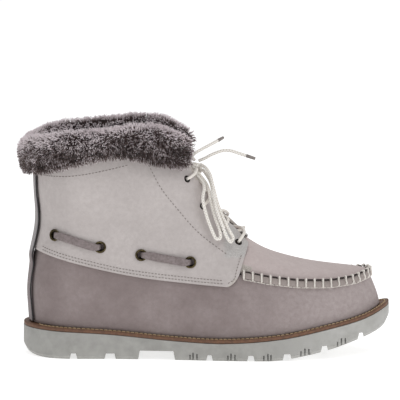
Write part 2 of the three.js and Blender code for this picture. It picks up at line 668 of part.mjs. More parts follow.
// ---- Eyelets --------------------------------------------------------------------------------
function eyelet(profile, segments) {
  const points = [...profile, profile[0]].map(([r, h]) => new THREE.Vector2(r, h));
  const lathe = new THREE.LatheGeometry(points, segments);
  lathe.deleteAttribute('normal');
  lathe.deleteAttribute('uv');
  return outwardFacing(mergeVertices(lathe, 1e-3));
}
const deckProfile = () => {
  const [bore, barrel, rim] = [deckEyeletBore, deckEyeletBore + eyeletWall, deckEyeletOuter];
  const [end, low, high] = [-leather - 0.9, 0.5, 1.3];
  return [[bore, end], [barrel, end], [barrel, low], [rim, low], [rim - 0.4, high], [bore, high]];
};
const laceProfile = () => {
  const [bore, barrel, rim] = [laceEyeletBore, laceEyeletBore + eyeletWall, laceEyeletOuter];
  const [low, high] = [-leather - 1.25, -leather - 0.85];
  return [[bore, low], [rim, low], [rim, high], [barrel, high], [barrel, 0], [bore, 0]];
};
for (const [side, name] of [[-1, 'lateral'], [1, 'medial']]) {
  deckEyelets.forEach(([x, z], i) =>
    add(`deck_eyelet_${name}_${i + 1}`, eyelet(deckProfile(), 12), brass(), seat(x, z, side)));
  laceEyelets.forEach(([x, z], i) =>
    add(`lace_eyelet_${name}_${i + 1}`, eyelet(laceProfile(), 10), brass(), seat(x, z, side)));
}

// ---- Deck lace: a flat thong through the eyelets and round the heel ---------------------------
// Heights here are outside the quarter's outer face.
const thongInside = -4.05;
const thongOver = 2.35;         // over an eyelet's rim
const thongRest = 1.4;          // midway between two eyelets
const thongPinch = 0.66;        // of the width, inside an eyelet

// A stop of the thong: its place, the way out of the boot there, and its share of the full width.
function thongStop(x, z, side, height, width = 1, shift = 0) {
  const out = outward(x, z, side, quarterFace);
  const forward = new THREE.Vector3(0, 0, -side).cross(out).normalize();
  const place = onBody(x, z, side, quarterFace).addScaledVector(out, height).addScaledVector(forward, shift);
  return { place, out, width };
}
function thongSide(side) {
  const line = through(deckEyelets);
  const threaded = ([x, z], into) => [[5.2, thongOver, 1], [1.2, thongOver - 0.15, thongPinch],
    [-0.9, thongInside + 0.45, thongPinch], [-4.5, thongInside, 1]]
    .map(([shift, height, width]) => thongStop(x, z, side, height, width, into * shift));
  const between = (a, b, height, share) => {
    const x = THREE.MathUtils.lerp(a[0], b[0], share);
    return thongStop(x, line(x), side, height);
  };
  const [e1, e2, e3, e4] = deckEyelets;
  const front = e4[0] + 13;
  return [thongStop(front, line(front), side, thongInside), ...threaded(e4, -1).reverse(),
    between(e4, e3, thongRest, 0.35), between(e4, e3, thongRest, 0.65), ...threaded(e3, 1),
    between(e3, e2, thongInside, 0.5), ...threaded(e2, -1).reverse(), between(e2, e1, thongRest, 0.5),
    ...threaded(e1, 1)];
}
function thongGeometry() {
  const z = deckEyelets[0][1] + 2;
  const round = [-26, -19, -12, -4, 4, 12, 19, 26].map((y) =>
    thongStop(backX(z, Math.abs(y), quarterFace), z, Math.sign(y), thongInside));
  const stops = [...thongSide(-1), ...round, ...thongSide(1).reverse()];
  const rings = stops.map(({ place, out, width }, i) => {
    const [before, after] = [stops[Math.max(i - 1, 0)], stops[Math.min(i + 1, stops.length - 1)]];
    const along = after.place.clone().sub(before.place).normalize();
    const rise = new THREE.Vector3(0, 0, 1).addScaledVector(out, -out.z);
    rise.addScaledVector(along, -rise.dot(along)).setLength(width * thongWidth / 2);
    const thick = along.clone().cross(rise).setLength(thongThickness / 2);
    return [[1, 1], [1, -1], [-1, -1], [-1, 1]].map(([a, b]) =>
      place.clone().addScaledVector(rise, a).addScaledVector(thick, b));
  });
  return loft(rings);
}
add('deck_lace', thongGeometry(), finish('#766d6c', 0.8));

// ---- Lacing -----------------------------------------------------------------------------------
// A place over the throat: y across from the centre line, at height z, on a layer.
function overThroat(y, z, layer) {
  const x = edgeX(z, Math.max(0.5, Math.abs(y)), 0);
  const normal = outward(x, z, Math.sign(y) || 1);
  if (y === 0) normal.setY(0).normalize();
  return new THREE.Vector3(x, centre(x) + y, z).addScaledVector(normal, layer);
}
// A place on the axis of a lace hole, `height` outside the quarter's outer face.
const inHole = (k, side, height) =>
  new THREE.Vector3(0, height, 0).applyMatrix4(seat(...laceEyelets[k], side));
const holeHeights = laceEyelets.map(([, z]) => z);
const holeUnder = -leather - 1.25 - laceRadius - 0.35;
const holeOver = laceRadius + 0.9;
const underFacing = -2.35;
const overFacing = quarterFace + laceRadius + 0.9;
const emerging = (k, side) => [holeUnder + 0.3, -1, holeOver - 0.4].map((high) => inHole(k, side, high));

// From the hole at level k on one side, over the throat to the next hole on the other.
function crossing(k, side, high) {
  const at = (y, t, layer) =>
    overThroat(side * y, THREE.MathUtils.lerp(holeHeights[k], holeHeights[k + 1], t), layer);
  return [...emerging(k, side), at(throatHalf + 4, 0.08, overFacing + 0.5),
    at(throatHalf - 1, 0.2, overFacing), at(6, 0.36, high ? 3.6 : 1.2), at(0, 0.5, high ? 2.9 : -0.9), at(-6, 0.66, high ? 0.4 : -1.9),
    at(-throatHalf + 1, 0.84, underFacing), at(-throatHalf - 4, 0.96, underFacing - 0.1)];
}
function lacingPath() {
  const top = holeHeights[3];
  const toKnot = (side) => [...emerging(3, side),
    overThroat(side * (throatHalf + 4), top + 1, overFacing + 0.4),
    overThroat(side * (throatHalf - 1), top + 2.4, overFacing), overThroat(side * 8, top + 4.2, 3.9)];
  const half = (side, high) => [...crossing(0, side, high), ...crossing(1, -side, high),
    ...crossing(2, side, high), ...toKnot(-side)];
  const bar = [-throatHalf - 3, -7, 7, throatHalf + 3]
    .map((y) => overThroat(y, holeHeights[0] + 0.5, underFacing));
  return [...half(-1, true).reverse(), ...bar, ...half(1, false)];
}
// A curve that spends as many steps between each two of its points.
class Routed extends THREE.CatmullRomCurve3 {
  getPointAt(t, target) { return this.getPoint(t, target); }
  getTangentAt(t, target) { return this.getTangent(t, target); }
  getSpacedPoints(n) { return this.getPoints(n); }
}
function tube(points, radius, steps, sides = 8) {
  const section = new THREE.Shape(Array.from({ length: sides }, (_, i) => {
    const angle = 2 * Math.PI * i / sides;
    return new THREE.Vector2(radius * Math.cos(angle), radius * Math.sin(angle));
  }));
  const path = new Routed(points, false, 'centripetal');
  return new THREE.ExtrudeGeometry(section, { steps, extrudePath: path, bevelEnabled: false });
}
add('lacing', tube(lacingPath(), laceRadius, lacingPath().length - 1), cordWhite());


// ---- Bow: knot, two loops and two free ends -----------------------------------------------------
const knotMiddle = new THREE.Vector3(-4.2, -3.3, 143.4);
const knot = new THREE.SphereGeometry(1, 12, 8).scale(4.4, 5.6, 4.6);
add('lace_knot', knot, cordWhite(), new THREE.Matrix4().setPosition(knotMiddle));

const loopOne = [[-6.6, -8.9, 141.2], [-3.6, -13, 137.4], [-0.2, -18.6, 134.4], [1.4, -26, 130.6],
  [0.2, -33.6, 123.5], [3, -37.4, 111], [7.5, -39.5, 99], [10.4, -39.9, 93.6], [13.2, -39.6, 93.6],
  [13.2, -37.9, 99], [9.5, -35.2, 109.5], [6.6, -31, 120], [4.8, -24, 128], [2.6, -15.6, 132.8],
  [-1.2, -11, 137.4], [-3.1, -8.8, 140]];
const loopTwo = [[-0.7, -7.9, 145.7], [2, -11.4, 144.6], [5.6, -18, 140], [8, -25, 132], [11, -30.6, 121],
  [15, -33.6, 110], [20.6, -36.2, 98.6], [23.2, -36.4, 93.8], [21.6, -38.4, 90.8], [18.9, -39, 94],
  [14.9, -38.8, 104], [10.9, -36.8, 115], [8.4, -30.5, 125], [6.4, -19, 133.6], [2.8, -10.6, 139.2],
  [0.2, -7.3, 142]];
const endOne = [[-2.8, -5.6, 148.8], [2, -7.4, 151], [8, -9, 154.4], [16.3, -10.6, 157.3],
  [22.5, -11.6, 157], [27.7, -12.2, 155.4], [33, -13, 153.7]];
const endTwo = [[-6, -2, 148.7], [-8, -3.4, 151.6], [-5.6, -5.4, 154.6], [-1, -4, 157.2], [4, 0, 159.4],
  [8.6, 5, 161.2], [11.4, 8.6, 162.3]];
const vectors = (points) => points.map((p) => new THREE.Vector3(...p));
add('lace_loop_1', tube(vectors(loopOne), laceRadius, 30), cordWhite());
add('lace_loop_2', tube(vectors(loopTwo), laceRadius, 30), cordWhite());
add('lace_end_1', tube(vectors(endOne), laceRadius, 9), cordWhite());
add('lace_end_2', tube(vectors(endTwo), laceRadius, 9), cordWhite());

const agletLength = 7.6;
const agletRadius = laceRadius + 0.1;
function agletMatrix(points) {
  const [before, end] = vectors(points).slice(-2);
  const along = end.clone().sub(before).normalize();
  const middle = end.clone().addScaledVector(along, clearance + agletLength / 2);
  const turn = new THREE.Quaternion().setFromUnitVectors(new THREE.Vector3(0, 1, 0), along);
  return new THREE.Matrix4().compose(middle, turn, new THREE.Vector3(1, 1, 1));
}
const aglet = () => new THREE.CylinderGeometry(agletRadius * 0.85, agletRadius, agletLength, 10);
add('aglet_1', aglet(), finish('#928c8a', 0.4), agletMatrix(endOne));
add('aglet_2', aglet(), finish('#928c8a', 0.4), agletMatrix(endTwo));

export default group;
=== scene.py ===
# %% [markdown]
# # A fleece-lined deck boot
# The boot is a low chukka on a moulded sole, with a sewn moccasin toe, a row of brass eyelets for a leather
# thong, a cotton lace and a turned-out fleece collar. The CAD frame already holds every solid where it belongs,
# so each piece here starts from the frame's own solid or lies on its surface, in metres.

# %% Load the frame and keep its box
import math
import random
import bmesh
import bpy
import numpy as np
from mathutils import Matrix, Vector, noise
from mathutils.bvhtree import BVHTree


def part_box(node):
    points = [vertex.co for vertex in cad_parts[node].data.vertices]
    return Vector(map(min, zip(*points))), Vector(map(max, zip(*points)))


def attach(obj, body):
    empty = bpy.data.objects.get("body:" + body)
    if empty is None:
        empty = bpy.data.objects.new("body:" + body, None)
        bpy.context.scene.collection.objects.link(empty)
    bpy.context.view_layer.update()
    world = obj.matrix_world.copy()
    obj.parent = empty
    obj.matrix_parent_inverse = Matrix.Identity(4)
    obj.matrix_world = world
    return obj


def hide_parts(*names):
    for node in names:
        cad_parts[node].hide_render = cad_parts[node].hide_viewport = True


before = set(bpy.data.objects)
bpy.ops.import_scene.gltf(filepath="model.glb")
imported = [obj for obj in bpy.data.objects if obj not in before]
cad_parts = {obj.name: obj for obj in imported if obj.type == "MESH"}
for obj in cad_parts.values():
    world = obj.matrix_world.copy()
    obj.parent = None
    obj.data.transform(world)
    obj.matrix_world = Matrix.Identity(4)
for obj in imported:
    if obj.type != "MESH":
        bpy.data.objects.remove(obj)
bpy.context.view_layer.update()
MM = 0.001
scene = bpy.context.scene

# %% [markdown]
# ## The camera
# A product picture of a shoe is taken from its outer side with a long lens, a little above the ground, so that
# the sole stays straight and a little of the collar's far side shows. The lens is 600 mm, and the distance is
# the one at which the view is 304 mm wide at the boot's near side.

# %% Camera
VIEW_WIDTH = 304 * MM
LENS = 600
RISE = math.radians(7.9)
aim = Vector((-1.9, -40, 123.2)) * MM
camera_data = bpy.data.cameras.new("camera")
camera_data.lens = LENS
camera_data.sensor_width = 36
camera = bpy.data.objects.new("camera", camera_data)
scene.collection.objects.link(camera)
distance = VIEW_WIDTH * LENS / 36
camera.location = aim + distance * Vector((0, -math.cos(RISE), math.sin(RISE)))
camera.rotation_euler = (math.pi / 2 - RISE, 0, 0)
camera_data.clip_start, camera_data.clip_end = 0.1, 100
scene.camera = camera
scene.view_settings.view_transform = "Standard"
print("camera stands", round(distance, 2), "m away")

# %% [markdown]
# ## Materials: two small helpers
# One function turns a colour as a painter writes it, in sRGB hex, to the linear numbers that the shader wants.
# The other adds one node with its settings, values and links. Every pattern reads Object coordinates, and
# `grain_of` turns a real size in millimetres into a texture scale.

# %% Colour and node helpers
def linear(hex_colour):
    channels = [int(hex_colour[i:i + 2], 16) / 255 for i in (1, 3, 5)]
    return [c / 12.92 if c <= 0.04045 else ((c + 0.055) / 1.055) ** 2.4 for c in channels] + [1.0]


def add_node(tree, kind, values=None, links=None, **settings):
    new = tree.nodes.new("ShaderNode" + kind)
    for key, value in settings.items():
        setattr(new, key, value)
    for key, value in (values or {}).items():
        new.inputs[key].default_value = value
    for key, value in (links or {}).items():
        tree.links.new(value, new.inputs[key])
    return new


def grain_of(size_mm):
    return 1 / (size_mm * MM)


def start_material(name, **shader_values):
    material = bpy.data.materials.new(name)
    material.use_nodes = True
    tree = material.node_tree
    shader = tree.nodes["Principled BSDF"]
    for key, value in shader_values.items():
        shader.inputs[key.replace("_", " ")].default_value = value
    where = add_node(tree, "TexCoord").outputs["Object"]
    return material, tree, shader, where


def cloud(tree, where, size_mm, detail=3, rough=0.55):
    return add_node(tree, "TexNoise", {"Scale": grain_of(size_mm), "Detail": detail, "Roughness": rough},
                    {"Vector": where}).outputs[0]


def sharpen(tree, value, low, high, to_low=0.0, to_high=1.0):
    return add_node(tree, "MapRange", {1: low, 2: high, 3: to_low, 4: to_high}, {0: value}).outputs[0]


def mix(tree, factor, first, second, mode="MIX"):
    """Mixes two colours; each is a hex string or a socket, and the factor a number or a socket."""
    new = add_node(tree, "Mix", data_type="RGBA", blend_type=mode)
    for index, value in ((0, factor), (6, first), (7, second)):
        if isinstance(value, str):
            new.inputs[index].default_value = linear(value)
        elif isinstance(value, (int, float)):
            new.inputs[index].default_value = value
        else:
            tree.links.new(value, new.inputs[index])
    return new.outputs[2]


def add_bump(tree, shader, height, depth_mm, strength=1.0):
    bump = add_node(tree, "Bump", {"Distance": depth_mm * MM, "Strength": strength}, {"Height": height})
    tree.links.new(bump.outputs[0], shader.inputs["Normal"])


# %% [markdown]
# ## Nubuck
# Nubuck is cowhide buffed on its grain side. The buffing leaves a short nap: matt, a little brighter where the
# light grazes it, blotched where the nap lies one way or the other, and never one flat colour. Three sizes of
# noise make that: blotches of 22 mm, nap marks of 3 mm, and a fine grain that is really 0.2 mm and is drawn at
# 0.7 mm so that it shows.

# %% Nubuck
def along_boot(tree, where, start_mm, stop_mm, axis=0):
    """0 before `start_mm` and 1 after `stop_mm` along one axis of the boot, eased."""
    place = add_node(tree, "SeparateXYZ", links={0: where}).outputs[axis]
    return add_node(tree, "MapRange", {1: start_mm * MM, 2: stop_mm * MM}, {0: place},
                    interpolation_type="SMOOTHSTEP").outputs[0]


def nubuck(name, dark, main, light, tint="#d8cfcb", sheen=0.35, back=None, low=None, rough_corner=False):
    material, tree, shader, where = start_material(
        name, Roughness=0.92, Specular_IOR_Level=0.25, Sheen_Weight=sheen, Sheen_Roughness=0.45,
        Sheen_Tint=linear(tint))
    blotch = sharpen(tree, cloud(tree, where, 22, 4, 0.6), 0.32, 0.68)
    nap = sharpen(tree, cloud(tree, where, 3.2, 3, 0.6), 0.3, 0.7)
    grain = cloud(tree, where, 0.7, 2)
    # `back` makes the boot's rear darker, fading into `main` between 0 and 115 mm along the boot: painted shade.
    if back:
        main = mix(tree, along_boot(tree, where, 0, 115), back, main)
        light = mix(tree, 0.35, main, light)
    if low:
        main = mix(tree, along_boot(tree, where, 78, 83, 2), low, main)
        light = mix(tree, 0.3, main, light)
    colour = mix(tree, blotch, main, light)
    if rough_corner:
        corner = add_node(tree, "Math", links={0: along_boot(tree, where, 14, 19), 1: along_boot(
            tree, where, 77, 80, 2)}, operation="MULTIPLY").outputs[0]
        colour = mix(tree, corner, colour, mix(tree, sharpen(tree, grain, 0.4, 0.6), "#b0aeac", "#c5c3c1"))
    colour = mix(tree, sharpen(tree, nap, 0.0, 1.0, 0.35, 0.0), colour, dark)
    colour = mix(tree, sharpen(tree, grain, 0.35, 0.65, 0.16, 0.0), colour, dark)
    tree.links.new(colour, shader.inputs["Base Color"])
    height = add_node(tree, "Math", {1: 0.4}, {0: grain, 2: nap}, operation="MULTIPLY_ADD").outputs[0]
    add_bump(tree, shader, height, 0.22, 0.8)
    return material


grey_nubuck = nubuck("light_grey_nubuck", "#a8a09e", "#bdb6b4", "#c8c1bf", rough_corner=True)
# The vamp is painted darker towards the heel: painted shade.
taupe_nubuck = nubuck("taupe_nubuck", "#7c706e", "#aea3a2", "#b6abaa", sheen=0.25, back="#887c7b")
strip_nubuck = nubuck("grey_strip_nubuck", "#757071", "#a19e9f", "#aba8a9", sheen=0.25, low="#7f7475")
plug_nubuck = nubuck("pale_taupe_nubuck", "#aea09e", "#c3b6b4", "#cbbfbd")
band_nubuck = nubuck("taupe_band_nubuck", "#857c78", "#9b918d", "#a59b97")

# %% [markdown]
# ## Cut leather edges, thong leather and thread
# Where leather is cut its raw edge shows, paler and more fibrous than the nap. The side thong is a darker, firmer
# strip. Sewing thread is bonded polyester, with a twist of about 1 mm.

# %% Small leather goods and thread
def plain(name, main, dark, size_mm, roughness, depth_mm=0.1, back=None, **values):
    material, tree, shader, where = start_material(name, Roughness=roughness, **values)
    # `back` makes the piece's rear darker, fading into `main` between 30 and 110 mm along the boot: painted shade.
    if back:
        main = mix(tree, along_boot(tree, where, 30, 110), back, main)
    marks = sharpen(tree, cloud(tree, where, size_mm, 3, 0.6), 0.35, 0.65)
    tree.links.new(mix(tree, marks, dark, main), shader.inputs["Base Color"])
    add_bump(tree, shader, marks, depth_mm, 0.7)
    return material


raw_edge = plain("raw_leather_edge", "#c9c3bd", "#aaa29b", 0.8, 0.95)
dark_edge = plain("raw_taupe_edge", "#8d817c", "#6f6561", 0.8, 0.95)
thong_leather = plain("taupe_thong_leather", "#8b8080", "#736867", 2.0, 0.7, 0.15)
pale_thread = plain("natural_thread", "#e9e4de", "#cfc8c0", 1.0, 0.8)
grey_thread = plain("grey_thread", "#8f8883", "#756e69", 1.0, 0.85)
tan_thread = plain("tan_thread", "#cdb593", "#a88d68", 1.0, 0.8)
# A near-black colour for tubes laid in the slots at the moccasin band's top edge: painted shadow.
painted_slot_shadow = plain("painted_seam_shadow", "#3a312f", "#2a2322", 1.0, 0.95)
piping_black = plain("black_piping_leather", "#242122", "#151314", 1.2, 0.55)

# %% [markdown]
# ## Cotton lace
# The lace is a round braid of unbleached cotton, 2.6 mm thick. The braid's ridges run round it both ways. The
# tubes carry a UV map whose first axis is the real length in millimetres, so two sine waves that cross in UV give
# the herringbone at a true 2.2 mm repeat. On the CAD solids that keep no UV map the fibre noise alone shows.

# %% Cotton
def cotton(name, braided):
    material, tree, shader, where = start_material(
        name, Roughness=0.9, Sheen_Weight=0.4, Sheen_Roughness=0.5)
    fibre = cloud(tree, where, 0.6, 3)
    height = fibre
    if braided:
        uv = add_node(tree, "SeparateXYZ", links={0: add_node(tree, "TexCoord").outputs["UV"]})
        waves = []
        for way in (1, -1):
            turn = add_node(tree, "Math", {1: way * 3 * 2 * math.pi}, {0: uv.outputs[1]}, operation="MULTIPLY")
            run = add_node(tree, "Math", {1: 2 * math.pi / 2.2}, {0: uv.outputs[0], 2: turn.outputs[0]},
                           operation="MULTIPLY_ADD")
            waves.append(add_node(tree, "Math", links={0: run.outputs[0]}, operation="SINE").outputs[0])
        crossed = add_node(tree, "Math", links={0: waves[0], 1: waves[1]}, operation="MAXIMUM").outputs[0]
        height = add_node(tree, "Math", {1: 0.5}, {0: fibre, 2: crossed}, operation="MULTIPLY_ADD").outputs[0]
        shade = sharpen(tree, crossed, -0.4, 0.8)
        colour = mix(tree, shade, "#dad3c9", "#f8f4ee")
    else:
        colour = mix(tree, sharpen(tree, fibre, 0.35, 0.65), "#ded7ce", "#f6f1ea")
    tree.links.new(colour, shader.inputs["Base Color"])
    add_bump(tree, shader, height, 0.18, 0.8)
    return material


braid_cotton = cotton("braided_cotton", True)
plain_cotton = cotton("unbleached_cotton", False)

# %% [markdown]
# ## Sole rubber, welt leather, brass and aglet plastic
# The outsole is moulded in an off-white rubber foam: matt, with a faint mottle from the mould. The welt is
# vegetable-tanned leather, brown with a darker mottle. The deck eyelets are brass with a brown antique finish,
# rubbed bright in patches; the lace eyelets are blackened.

# %% Sole and hardware materials
# The rubber is painted darker towards the heel: painted shade.
sole_rubber = plain("offwhite_rubber_foam", "#b1b0ad", "#a4a39f", 9.0, 0.62, 0.03, back="#969591")
welt_leather = plain("tan_welt_leather", "#74513a", "#5c4030", 3.0, 0.6, 0.15)


def antique_brass(name, dark, bright, roughness):
    material, tree, shader, where = start_material(name, Metallic=1.0, Roughness=roughness)
    rubbed = sharpen(tree, cloud(tree, where, 1.6, 3), 0.4, 0.65)
    tree.links.new(mix(tree, rubbed, dark, bright), shader.inputs["Base Color"])
    add_bump(tree, shader, rubbed, 0.05, 0.4)
    return material


old_brass = antique_brass("antique_brass", "#3d3628", "#6f6448", 0.5)
black_brass = antique_brass("blackened_brass", "#2a2523", "#4c4440", 0.45)
aglet_film = plain("smoked_aglet_film", "#8f8783", "#776f6b", 2.0, 0.35, 0.02)
lining_board = plain("fibre_board", "#a58d6c", "#8f7857", 2.0, 0.9)
shank_steel = antique_brass("spring_steel", "#7d8084", "#a0a3a6", 0.4)

# %% [markdown]
# ## Fleece
# The collar is a long pile in two colours: the hairs are dark brown at the root and frosted lilac-white at the
# tip. Each hair here is a thin tapered tube, and its material reads an attribute, `along`, that runs from 0 at
# the root to a value at the tip that sets how far the pale colour reaches. That value is partly the fleece's own
# frost and partly painted light: it is raised on the top of the roll and on its faces turned inward, so these
# show paler. The pile's ground under it is dark. The flat lining inside the boot is the same fleece pressed short.

# %% Fleece materials
def pile_material(name, root, middle, tip, turn):
    material, tree, shader, where = start_material(
        name, Roughness=0.85, Specular_IOR_Level=0.3, Sheen_Weight=0.25, Sheen_Roughness=0.4)
    along = add_node(tree, "Attribute", attribute_name="along").outputs["Fac"]
    patch = sharpen(tree, cloud(tree, where, 7, 3, 0.6), 0.3, 0.7, -0.16, 0.16)
    grown = add_node(tree, "Math", links={0: along, 1: patch}, operation="ADD").outputs[0]
    lower = mix(tree, sharpen(tree, grown, 0.0, turn), root, middle)
    colour = mix(tree, sharpen(tree, grown, turn, 0.95), lower, tip)
    tree.links.new(colour, shader.inputs["Base Color"])
    return material


hair_fleece = pile_material("frosted_fleece_hair", "#2e211d", "#6e5d5a", "#f2e8eb", 0.5)
ground_fleece = plain("fleece_ground", "#5e4f4e", "#3d3231", 2.5, 0.95, 0.8)
short_fleece = plain("pressed_fleece", "#85767a", "#5a4c4c", 2.2, 0.95, 0.9, Sheen_Weight=0.3)
fleece_backing = plain("fleece_backing", "#8a6a4f", "#6b4f3a", 1.5, 0.9, 0.2)
print("materials made:", len(bpy.data.materials))

# %% [markdown]
# ## The lace, first of all
# Cords come first, because they can reach out of the view. The bow hangs from the knot in two loops over the
# outer side, and its two ends stand up and forward, as the lace is stiff with its braid. The points are the
# frame's own route, in millimetres.

# %% Lace route
LACE_RADIUS = 1.3
loop_one = [[-6.6, -8.9, 141.2], [-3.6, -13, 137.4], [-0.2, -18.6, 134.4], [1.4, -26, 130.6],
            [0.2, -33.6, 123.5], [3, -37.4, 111], [7.5, -39.5, 99], [10.4, -39.9, 93.6],
            [13.2, -39.6, 93.6], [13.2, -37.9, 99], [9.5, -35.2, 109.5], [6.6, -31, 120],
            [4.8, -24, 128], [2.6, -15.6, 132.8], [-1.2, -11, 137.4], [-3.1, -8.8, 140]]
loop_two = [[-0.7, -7.9, 145.7], [2, -11.4, 144.6], [5.6, -18, 140], [8, -25, 132], [11, -30.6, 121],
            [15, -33.6, 110], [20.6, -36.2, 98.6], [23.2, -36.4, 93.8], [21.6, -38.4, 90.8],
            [18.9, -39, 94], [14.9, -38.8, 104], [10.9, -36.8, 115], [8.4, -30.5, 125],
            [6.4, -19, 133.6], [2.8, -10.6, 139.2], [0.2, -7.3, 142]]
end_one = [[-2.8, -5.6, 148.8], [2, -7.4, 151], [8, -9, 154.4], [16.3, -10.6, 157.3],
           [22.5, -11.6, 157], [27.7, -12.2, 155.4], [33, -13, 153.7]]
end_two = [[-6, -2, 148.7], [-8, -3.4, 151.6], [-5.6, -5.4, 154.6], [-1, -4, 157.2], [4, 0, 159.4],
           [8.6, 5, 161.2], [11.4, 8.6, 162.3]]


def smooth_line(points, step=0.8 * MM):
    """A centripetal Catmull-Rom curve through the points, cut into pieces of about `step`."""
    line = [Vector(p) for p in points]
    line = [2 * line[0] - line[1]] + line + [2 * line[-1] - line[-2]]
    made = []
    for i in range(1, len(line) - 2):
        p0, p1, p2, p3 = line[i - 1:i + 3]
        knots = [0.0]
        for a, b in ((p0, p1), (p1, p2), (p2, p3)):
            knots.append(knots[-1] + math.sqrt((b - a).length))
        t0, t1, t2, t3 = knots
        pieces = max(1, round((p2 - p1).length / step))
        for k in range(pieces):
            t = t1 + (t2 - t1) * k / pieces
            a1 = p0.lerp(p1, (t - t0) / (t1 - t0))
            a2 = p1.lerp(p2, (t - t1) / (t2 - t1))
            a3 = p2.lerp(p3, (t - t2) / (t3 - t2))
            b1 = a1.lerp(a2, (t - t0) / (t2 - t0))
            b2 = a2.lerp(a3, (t - t1) / (t3 - t1))
            made.append(b1.lerp(b2, (t - t1) / (t2 - t1)))
    return made + [Vector(points[-1])]


def run_length(line):
    return sum((b - a).length for a, b in zip(line, line[1:]))


# %% [markdown]
# ## Tubes from curves
# A bevelled curve is Blender's own way to make a thread, a cord or a hair: one spline each, with a radius at
# every point. It is turned into a mesh at once, so that it keeps its UV map, and shaded smooth.

# %% Add pieces, and turn splines into tubes
def add_piece(name, mesh, materials, body="boot", stands_for=()):
    piece = bpy.data.objects.new(name, mesh)
    scene.collection.objects.link(piece)
    for material in (materials if isinstance(materials, (list, tuple)) else [materials]):
        mesh.materials.append(material)
    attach(piece, body)
    if stands_for:
        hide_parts(*([stands_for] if isinstance(stands_for, str) else stands_for))
    return piece


def tube_mesh(name, strands, radius, rounding=1, tapers=None, cyclic=False):
    """One mesh of many tubes. A strand is a list of points; `tapers` holds a share of the radius for each."""
    curve = bpy.data.curves.new(name, "CURVE")
    curve.dimensions = "3D"
    curve.bevel_depth = radius
    curve.bevel_resolution = rounding
    curve.use_fill_caps = True
    for strand in strands:
        spline = curve.splines.new("POLY")
        spline.points.add(len(strand) - 1)
        flat = [c for p in strand for c in (p[0], p[1], p[2], 1.0)]
        spline.points.foreach_set("co", flat)
        if tapers:
            spline.points.foreach_set("radius", tapers)
        spline.use_cyclic_u = cyclic
    holder = bpy.data.objects.new(name + "_curve", curve)
    scene.collection.objects.link(holder)
    graph = bpy.context.evaluated_depsgraph_get()
    mesh = bpy.data.meshes.new_from_object(holder.evaluated_get(graph))
    mesh.name = name
    mesh.shade_smooth()
    bpy.data.objects.remove(holder)
    bpy.data.curves.remove(curve)
    return mesh


def cord_piece(name, points, node):
    line = smooth_line([Vector(p) * MM for p in points])
    mesh = tube_mesh(name, [line], LACE_RADIUS * MM, rounding=3)
    length = run_length(line)
    uv = mesh.uv_layers[0].data
    for loop in uv:
        loop.uv = (loop.uv[0] * length / MM, loop.uv[1])
    piece = add_piece(name, mesh, braid_cotton, stands_for=node)
    return piece, line, length


loops = [cord_piece("bow_loop_1", loop_one, "lace_loop_1"), cord_piece("bow_loop_2", loop_two, "lace_loop_2")]
ends = [cord_piece("bow_end_1", end_one, "lace_end_1"), cord_piece("bow_end_2", end_two, "lace_end_2")]
for piece, line, length in loops + ends:
    print(piece.name, round(length / MM, 1), "mm")

# %% [markdown]
# ## Aglets
# An aglet is clear film wound round the lace's end. A cone of 16 sides, a little narrower at its tip and bevelled,
# is turned to the lace's last direction; the frame's own solid says where it is.

# %% Aglets
def aglet(name, node, line):
    low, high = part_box(node)
    middle = (low + high) / 2
    along = (line[-1] - line[-4]).normalized()
    turn = along.to_track_quat("Z", "Y").to_matrix().to_4x4()
    bm = bmesh.new()
    bmesh.ops.create_cone(bm, cap_ends=True, segments=16, radius1=1.4 * MM, radius2=1.19 * MM, depth=7.4 * MM,
                          matrix=Matrix.Translation(middle) @ turn)
    rims = [e for e in bm.edges if e.calc_face_angle(0) > 1]
    bmesh.ops.bevel(bm, geom=rims, offset=0.3 * MM, segments=2, profile=0.5, affect="EDGES", material=-1)
    for face in bm.faces:
        face.smooth = len(face.verts) < 16
    mesh = bpy.data.meshes.new(name)
    bm.to_mesh(mesh)
    bm.free()
    return add_piece(name, mesh, aglet_film, stands_for=node)


aglets = [aglet("aglet_cap_1", "aglet_1", ends[0][1]), aglet("aglet_cap_2", "aglet_2", ends[1][1])]

# %% [markdown]
# ## From a frame solid to a leather panel
# The frame's solids are made of flat facets. A panel starts as a copy: its triangles are merged and joined back
# to quads, the sharp edges get a crease, and a subdivision surface rounds the rest as leather rounds over a last.
# Where a panel has eyelet holes they are closed first, because subdivision puckers round a small hole, and are
# cut again through the finished surface.

# %% Panels
SHARP = math.radians(48)


def panel_bmesh(node, closed_holes=(), join=True):
    bm = bmesh.new()
    bm.from_mesh(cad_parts[node].data)
    bmesh.ops.remove_doubles(bm, verts=bm.verts, dist=1e-6)
    for middle, reach in closed_holes:
        near = [v for v in bm.verts if (v.co - middle).length < reach]
        bmesh.ops.delete(bm, geom=near, context="VERTS")
        open_edges = [e for e in bm.edges if e.is_boundary]
        bmesh.ops.holes_fill(bm, edges=open_edges, sides=0)
    if join:
        bmesh.ops.join_triangles(bm, faces=bm.faces, angle_face_threshold=math.radians(40),
                                 angle_shape_threshold=math.radians(60))
    return bm


def panel(name, node, materials, body="boot", levels=2, crease=0.85, closed_holes=(), edge=False,
          keep_modifiers=True):
    bm = panel_bmesh(node, closed_holes)
    creases = bm.edges.layers.float.new("crease_edge")
    for e in bm.edges:
        if e.calc_face_angle(0) > SHARP:
            e[creases] = crease
    for face in bm.faces:
        face.smooth = True
        if edge and len(face.verts) == 4 and sum(e[creases] > 0 for e in face.edges) >= 2:
            face.material_index = 1
    mesh = bpy.data.meshes.new(name)
    bm.to_mesh(mesh)
    bm.free()
    piece = add_piece(name, mesh, materials, body, node)
    rounding = piece.modifiers.new("rounding", "SUBSURF")
    rounding.levels = rounding.render_levels = levels
    if not keep_modifiers:
        settle(piece)
    return piece


